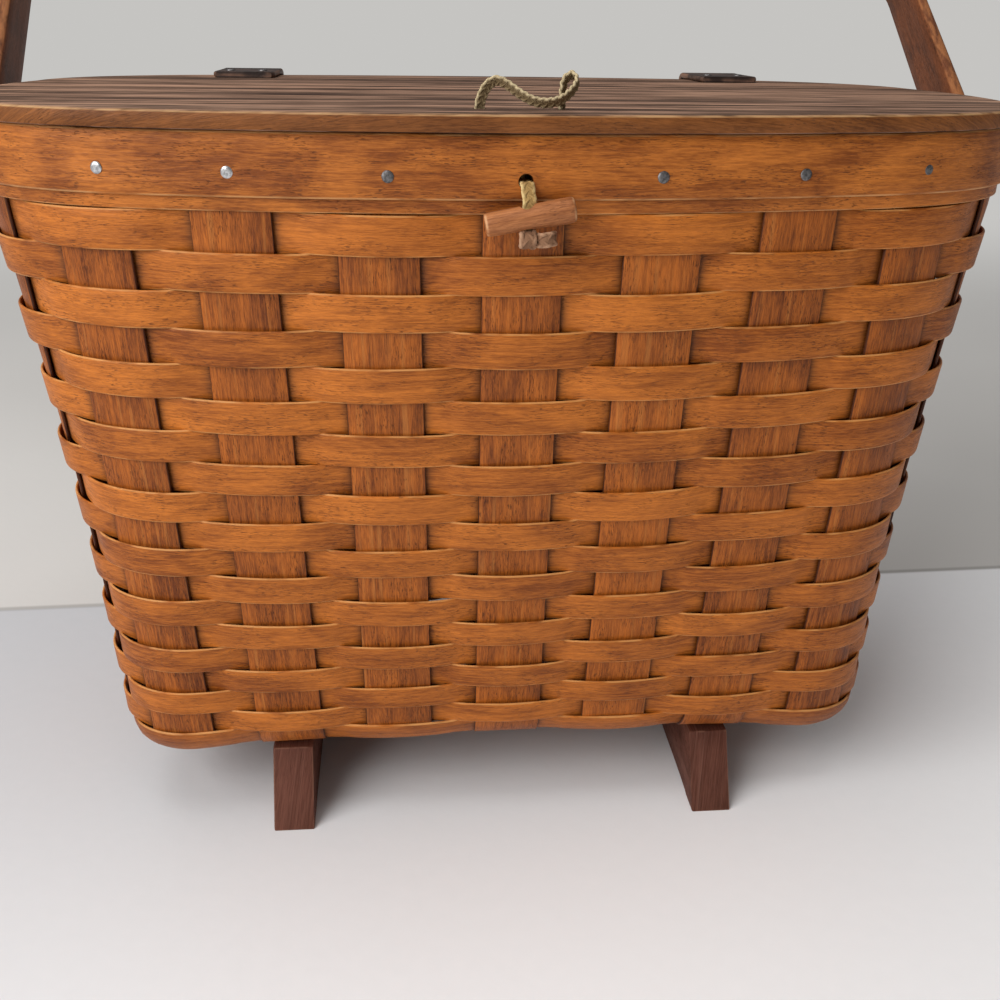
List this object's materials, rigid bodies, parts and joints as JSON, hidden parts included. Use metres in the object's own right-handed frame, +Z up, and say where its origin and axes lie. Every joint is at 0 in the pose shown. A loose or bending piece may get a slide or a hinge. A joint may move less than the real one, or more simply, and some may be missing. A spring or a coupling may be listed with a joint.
{
  "type": "lidded basket",
  "caption": "Woven splint magazine basket with a flat board lid on leather straps, a swinging bent handle, a peg-and-loop closure and runner feet",
  "frame": {"origin": "on the floor under the middle of the whole outline, cords left out, with the handle leaning back as in the picture", "axes": "X runs along the basket's long side, Y from the front with the toggle to the back with the straps, Z up"},
  "size_m": [0.527, 0.4222, 0.4643],
  "materials": {
    "weaver_splint": "honey-orange stained ash splint, satin, with short dark flecks",
    "upright_splint": "darker stained ash splint with upright grain, satin",
    "rim_splint": "red-brown stained ash band, satin",
    "lid_wood": "grey-brown stained board with long streaks and worn pale edges",
    "handle_wood": "dark brown steam-bent band, satin",
    "runner_wood": "dark red-brown stained board, satin",
    "strap_leather": "near-black brown leather, worn",
    "cord": "braided straw-coloured cord",
    "peg_wood": "turned peg, satin",
    "rivet_steel": "dull steel rivet"
  },
  "bodies": {
    "basket": {"weaver_01": "weaver_splint", "weaver_02": "weaver_splint", "weaver_03": "weaver_splint", "weaver_04": "weaver_splint", "weaver_05": "weaver_splint", "weaver_06": "weaver_splint", "weaver_07": "weaver_splint", "weaver_08": "weaver_splint", "weaver_09": "weaver_splint", "weaver_10": "weaver_splint", "weaver_11": "weaver_splint", "weaver_12": "weaver_splint", "weaver_13": "weaver_splint", "weaver_14": "weaver_splint", "weaver_15": "weaver_splint", "weaver_16": "weaver_splint", "weaver_17": "weaver_splint", "weaver_18": "weaver_splint", "weaver_19": "weaver_splint", "upright_front_1": "upright_splint", "upright_front_2": "upright_splint", "upright_front_3": "upright_splint", "upright_front_4": "upright_splint", "upright_front_5": "upright_splint", "upright_front_6": "upright_splint", "upright_front_7": "upright_splint", "upright_end_1": "upright_splint", "upright_end_2": "upright_splint", "upright_end_3": "upright_splint", "upright_end_4": "upright_splint", "rim_inner_band": "rim_splint", "rim_under_band": "rim_splint", "rim_outer_band": "rim_splint", "strap_left_rim_leaf": "strap_leather", "handle_pin_left": "rivet_steel", "handle_washer_left": "strap_leather", "runner_left": "runner_wood", "strap_right_rim_leaf": "strap_leather", "handle_pin_right": "rivet_steel", "handle_washer_right": "strap_leather", "runner_right": "runner_wood", "toggle_cord_anchor": "cord", "toggle_anchor_knot": "cord"},
    "lid": {"lid_board": "lid_wood", "strap_left_lid_leaf": "strap_leather", "strap_right_lid_leaf": "strap_leather", "loop_cord": "cord", "loop_knot_left": "cord", "loop_knot_right": "cord"},
    "handle": {"handle": "handle_wood"},
    "toggle": {"toggle_cord": "cord", "toggle_peg": "peg_wood", "toggle_knot": "cord"}
  },
  "joints": [
    {"name": "lid_hinge", "type": "hinge", "parent": "basket", "child": "lid", "pos_m": [0, 0.09032, 0.3468], "axis": [-1, 0, 0], "range_deg": [0, 100]},
    {"name": "handle_swing", "type": "hinge", "parent": "basket", "child": "handle", "pos_m": [0, -0.05898, 0.319], "axis": [-1, 0, 0], "range_deg": [-208, 82]},
    {"name": "toggle_swing", "type": "hinge", "parent": "basket", "child": "toggle", "pos_m": [0, -0.20678, 0.3197], "axis": [-1, 0, 0], "range_deg": [0, 85]}
  ]
}
